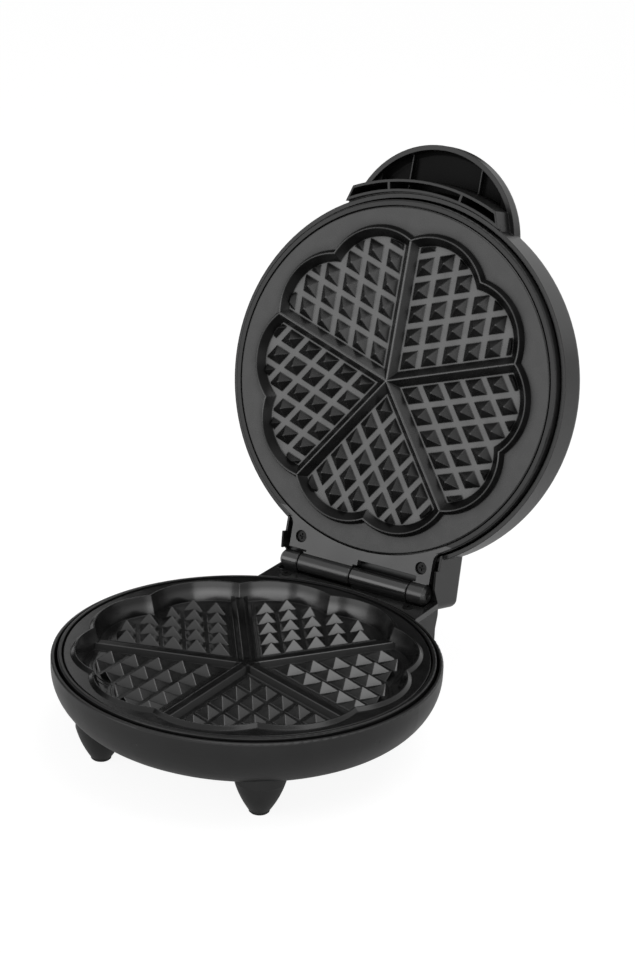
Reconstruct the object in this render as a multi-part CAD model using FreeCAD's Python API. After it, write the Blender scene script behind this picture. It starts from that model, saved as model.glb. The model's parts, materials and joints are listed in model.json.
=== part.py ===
import FreeCAD, Part
import math
import os

# Waffle maker with five heart fields. Millimetres, Z up, table at Z = 0.
# Pieces are drawn with the lid closed and the base's axis on X = Y = 0, front towards -Y.
# The lid is then turned open about its hinge and the whole is centred on the table.

# Lower casing: a bowl with a straight wall, a round foot of the wall and a flat floor
CASING_RADIUS = 104.0
CASING_WALL = 2.0
CASING_STRAIGHT = 5.0
CASING_ROUND = 26.5
RIM_ROUND = 1.0
RIM_HEIGHT = 50.2

# Legs and their rubber pads
FRONT_LEG_SETBACK = 23.8
FRONT_LEG_ANGLE = 38.0
REAR_LEG_X = 36.0
REAR_LEG_SETBACK = 10.0
LEG_ROOT_RADIUS = 13.5
LEG_TIP_RADIUS = 5.6
LEG_BULGE = 0.8
LEG_ROOT_HEIGHT = 8.8
PAD_RADIUS = 5.4
PAD_HEIGHT = 1.6
PAD_CHAMFER = 0.6
PAD_STEM_RADIUS = 2.4
PAD_STEM_LENGTH = 5.0

# Rings round the plates, and gaps between neighbouring circles
LOWER_RING_GAP = 1.7
LOWER_RING_WIDTH = 2.1
UPPER_RING_WIDTH = 3.2
RING_PROUD = 0.5
RING_EDGE = 0.9
RING_SKIRT = 9.0
PLATE_GAP = 0.6
LEDGE_WIDTH = 3.8
RIB_COUNT = 5
RIB_ANGLE = 270.0
RIB_THICKNESS = 2.4
RIB_DEPTH = 11.0

# Baking plates
HEARTS = 5
ANNULUS_LIFT = 1.0
FLANGE_THICKNESS = 5.0
LIP_HEIGHT = 1.7
LIP_OUTER_RUN = 1.9
CREST_WIDTH = 0.6
PLATE_EDGE = 0.6
CLOSED_GAP = 0.3
LOWER_BORDER = 6.6
LOWER_LOBE_RISE = 5.85
POCKET_DEPTH = 10.6
POCKET_DRAFT = 3.2
POCKET_FLOOR = 3.4
TRAY_WALL = 2.4
LOWER_RIDGE_HEIGHT = 2.9
LOWER_RIDGE_BASE = 4.6
LOWER_RIDGE_TOP = 2.2
LOWER_PAD_INSET = 6.6
LOWER_PAD_MARGIN = 3.7
LOWER_PAD_HEIGHT = 0.35
LOWER_TIER_INSET = 1.1
LOWER_TIER_MARGIN = 1.9
LOWER_FIELD_INSET = 8.6
LOWER_FIELD_MARGIN = 7.6
LOWER_VALLEY = 2.2
LOWER_PYRAMID = 4.3
UPPER_BORDER = 11.9
UPPER_LOBE_RISE = 6.65
FENCE_HEIGHT = 4.2
FENCE_OUTER_RUN = 1.7
FENCE_INNER_RUN = 4.4
UPPER_RIDGE_HEIGHT = 4.4
UPPER_RIDGE_BASE = 4.3
UPPER_RIDGE_TOP = 0.35
UPPER_FIELD_INSET = 5.3
UPPER_FIELD_MARGIN = 0.6
UPPER_VALLEY = 3.3
UPPER_PYRAMID = 4.2
LATTICE_PITCH = 12.5
PYRAMID_TIP = 0.5
SMALLEST_PIECE = 0.012

# Heaters, shields and what is fixed to the back of a plate
HEATER_INSET = 42.6
HEATER_TUBE = 3.25
HEATER_SEAT_GAP = 0.1
HEATER_SEAT_WIDTH = 12.0
HEATER_SEAT_HEIGHT = 3.0
HEATER_SWEEP = 320.0
HEATER_PIN_RADIUS = 1.6
HEATER_PIN_LENGTH = 9.0
SHIELD_OVERHANG = 9.0
SHIELD_HOLE = 17.0
SHIELD_THICKNESS = 0.8
SHIELD_RIM = 3.0
SHIELD_POST_COUNT = 3
SHIELD_POST_ANGLE = 30.0
SHIELD_POST_RADIUS = 3.5
SHIELD_POST_INSET = 15.0
SHIELD_POST_HEIGHT = 9.0
THERMOSTAT_RADIUS = 8.5
THERMOSTAT_HEIGHT = 8.0
THERMOSTAT_EAR = 15.5
THERMOSTAT_EAR_THICKNESS = 1.2
THERMOSTAT_SCREW_BITE = 2.2
THERMOSTAT_TAB_WIDTH = 5.0
THERMOSTAT_TAB_LENGTH = 6.0
FUSE_RADIUS = 2.0
FUSE_LENGTH = 14.0
FUSE_PLACE = 26.0
FUSE_CLIP_WALL = 1.2
FUSE_CLIP_LENGTH = 8.0
FUSE_CLIP_EAR = 8.0

# Fasteners
SCREW_RADIUS = 1.6
SCREW_FIT = 0.05
SCREW_HEAD_RADIUS = 3.0
SCREW_HEAD_HEIGHT = 1.8
SCREW_BITE = 7.0
SCREW_HOLE_SPARE = 1.0
CROSS_WIDTH = 0.8
CROSS_SPAN = 3.4
CROSS_DEPTH = 0.9
BOSS_WALL = 2.6
CASING_SCREW_INSET = 5.5
CASING_SCREW_COUNT = 3
CASING_SCREW_ANGLE = 270.0
CASING_SCREW_FLOOR = 8.0
PLATE_BOSS_HEIGHT = 3.0
UPPER_SCREW_INSET = 5.2
LID_SCREW_COUNT = 4
PLATE_SCREW_ANGLE = 0.0
SHELL_SCREW_ANGLE = 45.0
UPPER_LEDGE_WIDTH = 9.5
UPPER_LEDGE_THICKNESS = 4.0
PLATE_SCREW_BITE = 3.4

# Hinge
HINGE_SETBACK = 9.5
HINGE_RISE = 4.1
OPEN_ANGLE = 104.6
KNUCKLE_RADIUS = 5.4
END_KNUCKLE_RADIUS = 6.0
KNUCKLE_CHAMFER = 0.6
END_CHAMFER = 1.7
KNUCKLE_CLEARANCE = 0.4
KNUCKLE_END_GAP = 0.5
PIN_RADIUS = 2.0
PIN_FIT = 0.05
PIN_SINK = 2.2
BASE_KNUCKLE_LEFT = -48.7
LID_KNUCKLE_LEFT = -36.7
BASE_KNUCKLE_MIDDLE = -2.3
LID_KNUCKLE_RIGHT = 35.2
LID_KNUCKLE_END = 46.4
LAND_HALF_WIDTH = 46.0
LAND_CORNER = 5.0
LAND_THICKNESS = 3.9
NOTCH_SHIFT = 2.8
LEFT_NOTCH_DEPTH = 0.9
MIDDLE_NOTCH_DEPTH = 3.2
HINGE_SCREW_X = 39.35
HINGE_SCREW_SETBACK = 14.5
HINGE_SCREW_SINK = 1.5
HINGE_WELL_GAP = 0.5

# Hinge tower at the casing's back, and the bracket with the base knuckles
TOWER_HALF_WIDTH = 51.4
TOWER_WALL = 2.4
TOWER_DROP = 3.7
TOWER_STEP = 2.2
TOWER_STEP_TOP = 7.6
TOWER_STEP_BOTTOM = 15.0
TOWER_INSET = 34.0
BRACKET_THICKNESS = 3.4
BRACKET_GAP = 0.3
BRACKET_SCREW_X = 40.0
BRACKET_SCREW_SETBACK = 10.8
BRACKET_SCREW_SINK = 1.4
STOP_GAP = 0.35

# Cord gland and terminal block
GLAND_RISE = 9.2
GLAND_BORE = 3.6
GLAND_NECK = 5.6
GLAND_FLANGE = 7.0
GLAND_FLANGE_THICKNESS = 2.2
GLAND_LENGTH = 7.0
GLAND_FIT = 0.1
BLOCK_WIDTH = 30.0
BLOCK_DEPTH = 10.0
BLOCK_HEIGHT = 11.0
BLOCK_GAP = 1.4
BLOCK_WAYS = 3
BLOCK_WAY_RADIUS = 2.2
BLOCK_SCREW_RADIUS = 1.4
BLOCK_SCREW_DEPTH = 3.0
BLOCK_SCREW_PROUD = 0.6

# Lid shell
SHELL_GAP = 1.1
SHELL_WALL = 2.5
SHELL_SETBACK = 5.0
SHELL_HEIGHT = 31.0
SHELL_ROUND = 8.0
BLOCK_LIFT = 6.6
BLOCK_REACH = 9.0
BLOCK_INSET = 25.0
BLOCK_RISE = 4.0
REAR_BLOCK_HALF_WIDTH = 50.6
REAR_BLOCK_ROUND = 5.0
CHEEK_WALL = 1.2
CHEEK_SETBACK = 1.0
CHEEK_STEP = 15.3
CHEEK_PROUD = 2.9
CHEEK_TURN = 4.5
CHEEK_TURN_DROP = 0.9
STOP_LENGTH = 6.0
BAR_FACE = 2.0
BAR_ROOT_SETBACK = 1.0
BAR_STAND = 0.8
BAR_DEPTH = 7.0
BAR_HALF_ANGLE = 23.6
BAR_END_LEAN = 0.5
BAR_WALL = 1.6
BAR_WEB_ANGLE = 12.0
BAR_SLOT_DEPTH = 24.0
HANDLE_RADIUS = 52.5
HANDLE_REACH = 28.8
HANDLE_FACE = 18.0
HANDLE_WALL = 2.8
HANDLE_ROUND = 6.0
HANDLE_RIB_X = 22.0
HANDLE_RIB_THICKNESS = 0.8
HANDLE_RIB_HEIGHT = 4.0
HANDLE_CORNER_X = 38.0
HANDLE_CORNER_DEPTH = 3.5

# Indicator lamps in the lid
LAMP_X = 11.0
LAMP_INSET = 33.0
LAMP_RADIUS = 3.0
LAMP_LENGTH = 13.0
LENS_RADIUS = 4.2
LENS_FLANGE = 5.6
LENS_FLANGE_THICKNESS = 1.4
LENS_PROUD = 1.4
LENS_ROUND = 1.1
LENS_SKIRT = 5.0
LENS_FIT = 0.05

# Places that follow from the sizes above
LOWER_RING_OUTER = CASING_RADIUS - CASING_WALL - LOWER_RING_GAP
RING_INNER = LOWER_RING_OUTER - LOWER_RING_WIDTH
UPPER_RING_OUTER = RING_INNER + UPPER_RING_WIDTH
PLATE_RADIUS = RING_INNER - PLATE_GAP
FRONT_LEG_RADIUS = CASING_RADIUS - FRONT_LEG_SETBACK
REAR_LEG_Y = CASING_RADIUS - REAR_LEG_SETBACK
CASING_SCREW_PLACE = CASING_RADIUS - CASING_ROUND - CASING_SCREW_INSET
UPPER_SCREW_PLACE = RING_INNER - UPPER_SCREW_INSET
HEATER_RADIUS = PLATE_RADIUS - HEATER_INSET
SHIELD_RADIUS = HEATER_RADIUS + SHIELD_OVERHANG
SHIELD_POST_PLACE = HEATER_RADIUS - SHIELD_POST_INSET
FLOOR_Z = RIM_HEIGHT - CASING_STRAIGHT - CASING_ROUND
INNER_FLOOR_Z = FLOOR_Z + CASING_WALL
LOWER_Z = RIM_HEIGHT + ANNULUS_LIFT
CREST_Z = LOWER_Z + LIP_HEIGHT
POCKET_Z = CREST_Z - POCKET_DEPTH
TRAY_Z = POCKET_Z - POCKET_FLOOR
LOWER_FLANGE_Z = LOWER_Z - FLANGE_THICKNESS
UPPER_Z = CREST_Z + CLOSED_GAP
UPPER_BACK_Z = UPPER_Z + FLANGE_THICKNESS
UPPER_RING_Z = UPPER_Z + RING_PROUD
LOWER_PEAK = PLATE_RADIUS - LOWER_BORDER
LOWER_CUSP = LOWER_PEAK - LOWER_LOBE_RISE
UPPER_PEAK = PLATE_RADIUS - UPPER_BORDER
UPPER_CUSP = UPPER_PEAK - UPPER_LOBE_RISE
HEART_ANGLE = 360.0 / HEARTS
LOBE_ANGLE = HEART_ANGLE / 2
HINGE_Y = CASING_RADIUS + HINGE_SETBACK
HINGE_Z = RIM_HEIGHT + HINGE_RISE
SHELL_INNER = UPPER_RING_OUTER + SHELL_GAP
SHELL_RADIUS = SHELL_INNER + SHELL_WALL
SHELL_RIM_Z = UPPER_Z + SHELL_SETBACK
SHELL_TOP_Z = UPPER_Z + SHELL_HEIGHT
SHELL_INNER_TOP_Z = SHELL_TOP_Z - SHELL_WALL
REAR_BLOCK_Z = HINGE_Z + BLOCK_LIFT
REAR_BLOCK_BACK = HINGE_Y + BLOCK_REACH
REAR_BLOCK_FRONT = SHELL_RADIUS - BLOCK_INSET
CHEEK_INNER = REAR_BLOCK_HALF_WIDTH - CHEEK_WALL
CHEEK_LOW_Z = UPPER_RING_Z - CHEEK_PROUD
BAR_INNER = SHELL_RADIUS + BAR_STAND
BAR_OUTER = BAR_INNER + BAR_DEPTH
LAMP_Y = LAMP_INSET - SHELL_RADIUS
HANDLE_Y = -(SHELL_RADIUS + HANDLE_REACH - HANDLE_RADIUS)
HANDLE_Z = UPPER_Z + HANDLE_FACE
BASE_KNUCKLE_LEFT_END = LID_KNUCKLE_LEFT - KNUCKLE_END_GAP
LID_KNUCKLE_LEFT_END = BASE_KNUCKLE_MIDDLE - KNUCKLE_END_GAP
BASE_KNUCKLE_MIDDLE_END = LID_KNUCKLE_RIGHT - KNUCKLE_END_GAP
SWEEP_RADIUS = END_KNUCKLE_RADIUS + KNUCKLE_CLEARANCE
TOWER_TOP_Z = RIM_HEIGHT - TOWER_DROP
TOWER_FRONT = CASING_RADIUS - TOWER_INSET
GLAND_HEIGHT = FLOOR_Z + GLAND_RISE
OPEN = math.radians(OPEN_ANGLE)
STOP_Y = HINGE_Y + BLOCK_REACH * math.cos(OPEN) + BLOCK_LIFT * math.sin(OPEN)
TOWER_REAR = STOP_Y - STOP_GAP
TOWER_LOW_REAR = TOWER_REAR - TOWER_STEP
UPPER_LEDGE_TOP = UPPER_BACK_Z + UPPER_LEDGE_THICKNESS
SCREW_HOLE = SCREW_RADIUS + SCREW_FIT
BLOCK_FRONT = SHIELD_RADIUS + BLOCK_GAP
BOSS_RADIUS = SCREW_RADIUS + BOSS_WALL

# How far cutting shapes run past a face, and how close two places count as one
CUT_SPARE = 1.0
CLOSE = 1e-6

X_AXIS = FreeCAD.Vector(1, 0, 0)
Y_AXIS = FreeCAD.Vector(0, 1, 0)
Z_AXIS = FreeCAD.Vector(0, 0, 1)
ORIGIN = FreeCAD.Vector(0, 0, 0)


def point(x, y, z):
    return FreeCAD.Vector(x, y, z)


def one_solid(shape):
    """The single solid of a finished piece, with its split faces joined."""
    solids = shape.removeSplitter().Solids
    if len(solids) != 1:
        raise ValueError("expected one solid, got %d" % len(solids))
    return solids[0]


def joined(shapes):
    return shapes[0].fuse(shapes[1:])


def cylinder(radius, z0, z1, x=0.0, y=0.0):
    return Part.makeCylinder(radius, z1 - z0, point(x, y, z0), Z_AXIS)


def tube(outer, inner, z0, z1, x=0.0, y=0.0):
    return cylinder(outer, z0, z1, x, y).cut(cylinder(inner, z0, z1, x, y))


def rod(radius, x0, x1, y, z):
    return Part.makeCylinder(radius, x1 - x0, point(x0, y, z), X_AXIS)


def block(x0, x1, y0, y1, z0, z1):
    return Part.makeBox(x1 - x0, y1 - y0, z1 - z0, point(x0, y0, z0))


def outline(start, steps):
    """Closed wire from a start point; a step is an end point, or a middle and an end of an arc."""
    edges = []
    here = start
    for step in steps + [start]:
        if isinstance(step, tuple):
            edges.append(Part.Arc(here, step[0], step[1]).toShape())
            here = step[1]
        elif here.distanceToPoint(step) > CLOSE:
            edges.append(Part.LineSegment(here, step).toShape())
            here = step
    return Part.Wire(edges)


def corner_arc(centre, radius, start_angle, end_angle):
    """Middle and end of an arc in the XZ plane, angles in degrees from +X."""
    points = []
    for angle in ((start_angle + end_angle) / 2, end_angle):
        turn = math.radians(angle)
        points.append(centre + point(radius * math.cos(turn), 0, radius * math.sin(turn)))
    return tuple(points)


def turned(wire, x=0.0, y=0.0):
    """Solid of revolution of an XZ outline about the Z axis, then set at x, y."""
    solid = Part.Face(wire).revolve(ORIGIN, Z_AXIS, 360)
    return solid.translated(point(x, y, 0))


def prism_x(corners, x0, x1):
    """Polygon of (y, z) corners, run along X."""
    wire = Part.makePolygon([point(x0, y, z) for y, z in corners + corners[:1]])
    return Part.Face(wire).extrude(point(x1 - x0, 0, 0))


def around(count, start_angle, radius):
    """Evenly spaced x, y places on a circle, the first at start_angle from +X."""
    places = []
    for index in range(count):
        turn = math.radians(start_angle + index * 360.0 / count)
        places.append((radius * math.cos(turn), radius * math.sin(turn)))
    return places


def heading(angle):
    """Unit direction in the plate's plane, angle in degrees from the front (-Y) towards +X."""
    turn = math.radians(angle)
    return point(math.sin(turn), -math.cos(turn), 0)


def sector(radius0, radius1, start, end, z0, z1):
    """Arc-shaped bar between two radii; start and end hold a heading for each radius."""
    lift = point(0, 0, z0)
    inner = [heading(a) * radius0 + lift for a in (start[0], (start[0] + end[0]) / 2, end[0])]
    outer = [heading(a) * radius1 + lift for a in (start[1], (start[1] + end[1]) / 2, end[1])]
    wire = outline(inner[0], [(inner[1], inner[2]), outer[2], (outer[1], outer[0])])
    return Part.Face(wire).extrude(point(0, 0, z1 - z0))


# Lobed outline of the baking field: two round lobes for each heart
def lobe_arc(peak, cusp):
    """Distance of a lobe's centre from the plate's axis, and the lobe's radius."""
    half = math.radians(LOBE_ANGLE / 2)
    chord = cusp * math.sin(half)
    rise = peak - cusp * math.cos(half)
    radius = (chord ** 2 + rise ** 2) / (2 * rise)
    return peak - radius, radius


def cusp_reach(peak, cusp, offset):
    """Radius at which neighbouring lobes meet when the outline is grown by offset."""
    centre, radius = lobe_arc(peak, cusp)
    half = math.radians(LOBE_ANGLE / 2)
    return centre * math.cos(half) + math.sqrt((radius + offset) ** 2 - (centre * math.sin(half)) ** 2)


def lobe_wire(peak, cusp, offset, z):
    reach = cusp_reach(peak, cusp, offset)
    lift = point(0, 0, z)
    steps = []
    for index in range(2 * HEARTS):
        middle = heading((index + 0.5) * LOBE_ANGLE) * (peak + offset) + lift
        end = heading((index + 1) * LOBE_ANGLE) * reach + lift
        steps.append((middle, end))
    steps[-1] = (steps[-1][0], heading(0) * reach + lift)
    return outline(heading(0) * reach + lift, steps)


def lobe_loft(peak, cusp, offset0, z0, offset1, z1):
    """Tapered solid between two sizes of the lobed outline."""
    wires = [lobe_wire(peak, cusp, offset0, z0), lobe_wire(peak, cusp, offset1, z1)]
    return Part.makeLoft(wires, True, True)


def inside_lobes(place, peak, cusp, offset):
    centre, radius = lobe_arc(peak, cusp)
    if place.Length <= centre * math.cos(math.radians(LOBE_ANGLE / 2)):
        return True
    for index in range(2 * HEARTS):
        hub = heading((index + 0.5) * LOBE_ANGLE) * centre
        if place.distanceToPoint(hub) <= radius + offset:
            return True
    return False


def lattice_point(across0, across1):
    """Point at given distances from the two ridges that bound the front right heart."""
    scale = 1 / math.sin(math.radians(HEART_ANGLE))
    return heading(HEART_ANGLE) * (across0 * scale) + heading(0) * (across1 * scale)


def cell_corners(low0, low1, size0, size1, z):
    lift = point(0, 0, z)
    steps = ((0, 0), (size0, 0), (size0, size1), (0, size1), (0, 0))
    return [lattice_point(low0 + a, low1 + b) + lift for a, b in steps]


def pyramid(low0, low1, size, z0, z1):
    base = Part.makePolygon(cell_corners(low0, low1, size, size, z0))
    inset = (size - PYRAMID_TIP) / 2
    tip = Part.makePolygon(cell_corners(low0 + inset, low1 + inset, PYRAMID_TIP, PYRAMID_TIP, z1))
    return Part.makeLoft([base, tip], True, True)


def heart_pyramids(peak, cusp, margin, inset, valley, z0, z1):
    """Pyramids of one heart, cut along the heart's lobes."""
    size = LATTICE_PITCH - valley
    clip = lobe_loft(peak, cusp, -margin, min(z0, z1) - CUT_SPARE, -margin, max(z0, z1) + CUT_SPARE)
    whole_volume = pyramid(inset, inset, size, z0, z1).Volume
    count = math.ceil((peak - inset) / LATTICE_PITCH)
    pieces = []
    for row in range(count):
        for column in range(count):
            low0 = inset + row * LATTICE_PITCH
            low1 = inset + column * LATTICE_PITCH
            corners = cell_corners(low0, low1, size, size, 0)[:4]
            inside = [inside_lobes(corner, peak, cusp, -margin) for corner in corners]
            if not any(inside):
                continue
            piece = pyramid(low0, low1, size, z0, z1)
            if not all(inside):
                piece = piece.common(clip)
            pieces += [s for s in piece.Solids if s.Volume > SMALLEST_PIECE * whole_volume]
    return pieces


def five_times(shapes):
    """Copies of one heart's shapes for every heart."""
    copies = []
    for index in range(HEARTS):
        for shape in shapes:
            copies.append(shape.rotated(ORIGIN, Z_AXIS, index * HEART_ANGLE))
    return copies


def front_ridge(base, top, reach, z0, z1):
    """Ridge from the plate's centre to the front, trapezoid in section."""
    section = [(-base, z0), (base, z0), (top, z1), (-top, z1)]
    wire = Part.makePolygon([point(x, 0, z) for x, z in section + section[:1]])
    return Part.Face(wire).extrude(point(0, -reach, 0))


def heart_pad(peak, cusp, margin, inset, z0, z1):
    """Low raised field under one heart's pyramids."""
    far = 2 * peak
    corners = [(inset, inset), (far, inset), (far, far), (inset, far), (inset, inset)]
    wire = Part.makePolygon([lattice_point(a, b) + point(0, 0, z0) for a, b in corners])
    wedge = Part.Face(wire).extrude(point(0, 0, z1 - z0))
    return wedge.common(lobe_loft(peak, cusp, -margin, z0 - CUT_SPARE, -margin, z1 + CUT_SPARE))


# Things fixed to the back of a plate; away is +1 or -1, the way the plate's back faces
def span(z0, z1):
    return min(z0, z1), max(z0, z1)


def heater_seat(back, away):
    """Grooved ring on a plate's back that holds half of the heater's tube."""
    z0, z1 = span(back, back + away * HEATER_SEAT_HEIGHT)
    half = HEATER_SEAT_WIDTH / 2
    seat = tube(HEATER_RADIUS + half, HEATER_RADIUS - half, z0, z1)
    groove_z = back + away * HEATER_SEAT_HEIGHT
    groove = Part.makeTorus(HEATER_RADIUS, HEATER_TUBE + HEATER_SEAT_GAP, point(0, 0, groove_z))
    return seat, groove


def heater(back, away):
    """Bent tubular heater with a bare pin at each end, open towards the hinge."""
    z = back + away * HEATER_SEAT_HEIGHT
    gap = (360.0 - HEATER_SWEEP) / 2
    section = Part.Face(Part.Wire(Part.makeCircle(HEATER_TUBE, point(HEATER_RADIUS, 0, z), Y_AXIS)))
    bent = section.revolve(ORIGIN, Z_AXIS, HEATER_SWEEP)
    bent.rotate(ORIGIN, Z_AXIS, 90 + gap)
    pieces = [bent]
    for side in (-1, 1):
        turn = math.radians(90 + side * gap)
        end = point(HEATER_RADIUS * math.cos(turn), HEATER_RADIUS * math.sin(turn), z)
        along = point(math.sin(turn), -math.cos(turn), 0) * side
        pieces.append(Part.makeCylinder(HEATER_PIN_RADIUS, HEATER_PIN_LENGTH, end, along))
    return one_solid(joined(pieces))


def shield_places():
    return around(SHIELD_POST_COUNT, SHIELD_POST_ANGLE, SHIELD_POST_PLACE)


def shield_posts(back, away):
    z0, z1 = span(back, back + away * SHIELD_POST_HEIGHT)
    return [cylinder(SHIELD_POST_RADIUS, z0, z1, x, y) for x, y in shield_places()]


def shield_post_holes(back, away):
    top = back + away * SHIELD_POST_HEIGHT
    z0, z1 = span(top - away * (SCREW_BITE + SCREW_HOLE_SPARE), top)
    return [cylinder(SCREW_HOLE, z0, z1, x, y) for x, y in shield_places()]


def heat_shield(back, away):
    """Thin round reflector with a turned-up edge, on the plate's posts."""
    seat = back + away * SHIELD_POST_HEIGHT
    z0, z1 = span(seat, seat + away * SHIELD_THICKNESS)
    edge0, edge1 = span(seat - away * SHIELD_RIM, seat + away * SHIELD_THICKNESS)
    disc = cylinder(SHIELD_RADIUS, z0, z1)
    edge = tube(SHIELD_RADIUS, SHIELD_RADIUS - SHIELD_THICKNESS, edge0, edge1)
    holes = [cylinder(SHIELD_HOLE, z0, z1)]
    holes += [cylinder(SCREW_HOLE, z0, z1, x, y) for x, y in shield_places()]
    return one_solid(disc.fuse(edge).cut(holes))


def screw(x, y, seat, away, bite):
    """Pan-head screw; the head lies on the seat and the shank runs the other way."""
    head0, head1 = span(seat, seat + away * SCREW_HEAD_HEIGHT)
    shank0, shank1 = span(seat - away * bite, seat)
    head = cylinder(SCREW_HEAD_RADIUS, head0, head1, x, y)
    face = seat + away * SCREW_HEAD_HEIGHT
    slot0, slot1 = span(face, face - away * CROSS_DEPTH)
    long_half = CROSS_SPAN / 2
    thin_half = CROSS_WIDTH / 2
    cross = [block(x - long_half, x + long_half, y - thin_half, y + thin_half, slot0, slot1),
             block(x - thin_half, x + thin_half, y - long_half, y + long_half, slot0, slot1)]
    return one_solid(head.fuse(cylinder(SCREW_RADIUS, shank0, shank1, x, y)).cut(cross))


def shield_screws(back, away):
    seat = back + away * (SHIELD_POST_HEIGHT + SHIELD_THICKNESS)
    return [screw(x, y, seat, away, SCREW_BITE) for x, y in shield_places()]


# Base
def casing_screw_places():
    return around(CASING_SCREW_COUNT, CASING_SCREW_ANGLE, CASING_SCREW_PLACE)


def leg_places():
    turn = math.radians(FRONT_LEG_ANGLE)
    front_x = FRONT_LEG_RADIUS * math.sin(turn)
    front_y = -FRONT_LEG_RADIUS * math.cos(turn)
    return {"front_left": (-front_x, front_y), "front_right": (front_x, front_y),
            "rear_left": (-REAR_LEG_X, REAR_LEG_Y), "rear_right": (REAR_LEG_X, REAR_LEG_Y)}


def leg(x, y):
    """Tapered leg with bulging sides, its top inside the bowl's rounding."""
    top = FLOOR_Z + LEG_ROOT_HEIGHT
    low = point(LEG_TIP_RADIUS, 0, PAD_HEIGHT)
    high = point(LEG_ROOT_RADIUS, 0, FLOOR_Z)
    side = (high - low).normalize()
    middle = (low + high) / 2 + point(side.z, 0, -side.x) * LEG_BULGE
    wire = outline(point(0, 0, PAD_HEIGHT),
                   [low, (middle, high), point(LEG_ROOT_RADIUS, 0, top), point(0, 0, top)])
    return turned(wire, x, y)


def bowl(radius, round_radius, top):
    """Solid bowl of the casing's outer or inner size."""
    centre = point(radius - round_radius, 0, RIM_HEIGHT - CASING_STRAIGHT)
    floor = centre.z - round_radius
    wire = outline(point(0, 0, floor),
                   [point(centre.x, 0, floor), corner_arc(centre, round_radius, -90, 0),
                    point(radius, 0, top), point(0, 0, top)])
    return turned(wire)


def tower_outside():
    step_top = RIM_HEIGHT - TOWER_STEP_TOP
    step_bottom = RIM_HEIGHT - TOWER_STEP_BOTTOM
    corners = [(TOWER_FRONT, FLOOR_Z), (TOWER_LOW_REAR, FLOOR_Z), (TOWER_LOW_REAR, step_bottom),
               (TOWER_REAR, step_top), (TOWER_REAR, TOWER_TOP_Z), (TOWER_FRONT, TOWER_TOP_Z)]
    return prism_x(corners, -TOWER_HALF_WIDTH, TOWER_HALF_WIDTH)


def tower_inside():
    half = TOWER_HALF_WIDTH - TOWER_WALL
    return block(-half, half, TOWER_FRONT + TOWER_WALL, TOWER_LOW_REAR - TOWER_WALL,
                 INNER_FLOOR_Z, TOWER_TOP_Z - TOWER_WALL)


def bracket_screw_places():
    return [(-BRACKET_SCREW_X, HINGE_Y - BRACKET_SCREW_SETBACK),
            (BRACKET_SCREW_X, HINGE_Y - BRACKET_SCREW_SETBACK)]


def make_lower_casing():
    """Bowl, legs and hinge tower in one moulding, with screw tubes and ring ribs inside."""
    outside = bowl(CASING_RADIUS, CASING_ROUND, RIM_HEIGHT)
    inside = bowl(CASING_RADIUS - CASING_WALL, CASING_ROUND - CASING_WALL, RIM_HEIGHT + CUT_SPARE)
    body = joined([outside, tower_outside()] + [leg(x, y) for x, y in leg_places().values()])
    body = body.cut([inside, tower_inside()])
    rim_edge = [e for e in body.Edges if isinstance(e.Curve, Part.Circle)
                and abs(e.Curve.Radius - CASING_RADIUS) < CLOSE
                and abs(e.BoundBox.ZMin - RIM_HEIGHT) < CLOSE]
    body = body.makeFillet(RIM_ROUND, rim_edge)
    rib_top = LOWER_Z + RING_PROUD - RING_SKIRT
    rib_inner = RING_INNER - LEDGE_WIDTH
    ribs = []
    for index in range(RIB_COUNT):
        rib = block(rib_inner, CASING_RADIUS, -RIB_THICKNESS / 2, RIB_THICKNESS / 2,
                    rib_top - RIB_DEPTH, rib_top)
        ribs.append(rib.rotated(ORIGIN, Z_AXIS, RIB_ANGLE + index * 360.0 / RIB_COUNT).common(outside))
    tube_top = TRAY_Z - PLATE_BOSS_HEIGHT
    tubes = [cylinder(SCREW_HEAD_RADIUS + BOSS_WALL, FLOOR_Z, tube_top, x, y)
             for x, y in casing_screw_places()]
    body = joined([body] + ribs + tubes)
    holes = []
    for x, y in casing_screw_places():
        holes.append(cylinder(SCREW_HOLE, FLOOR_Z, tube_top, x, y))
        holes.append(cylinder(SCREW_HEAD_RADIUS + SCREW_FIT, FLOOR_Z, FLOOR_Z + CASING_SCREW_FLOOR, x, y))
    for x, y in leg_places().values():
        holes.append(cylinder(PAD_STEM_RADIUS + SCREW_FIT, PAD_HEIGHT, PAD_HEIGHT + PAD_STEM_LENGTH, x, y))
    for x, y in bracket_screw_places():
        holes.append(cylinder(SCREW_HOLE, TOWER_TOP_Z - TOWER_WALL, TOWER_TOP_Z, x, y))
    gland_start = point(0, TOWER_LOW_REAR - TOWER_WALL - CUT_SPARE, GLAND_HEIGHT)
    holes.append(Part.makeCylinder(GLAND_NECK + GLAND_FIT, TOWER_WALL + 2 * CUT_SPARE, gland_start, Y_AXIS))
    return one_solid(body.cut(holes))


def make_foot_pad(x, y):
    wire = outline(point(0, 0, 0),
                   [point(PAD_RADIUS - PAD_CHAMFER, 0, 0), point(PAD_RADIUS, 0, PAD_CHAMFER),
                    point(PAD_RADIUS, 0, PAD_HEIGHT), point(PAD_STEM_RADIUS, 0, PAD_HEIGHT),
                    point(PAD_STEM_RADIUS, 0, PAD_HEIGHT + PAD_STEM_LENGTH),
                    point(0, 0, PAD_HEIGHT + PAD_STEM_LENGTH)])
    return turned(wire, x, y)


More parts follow.
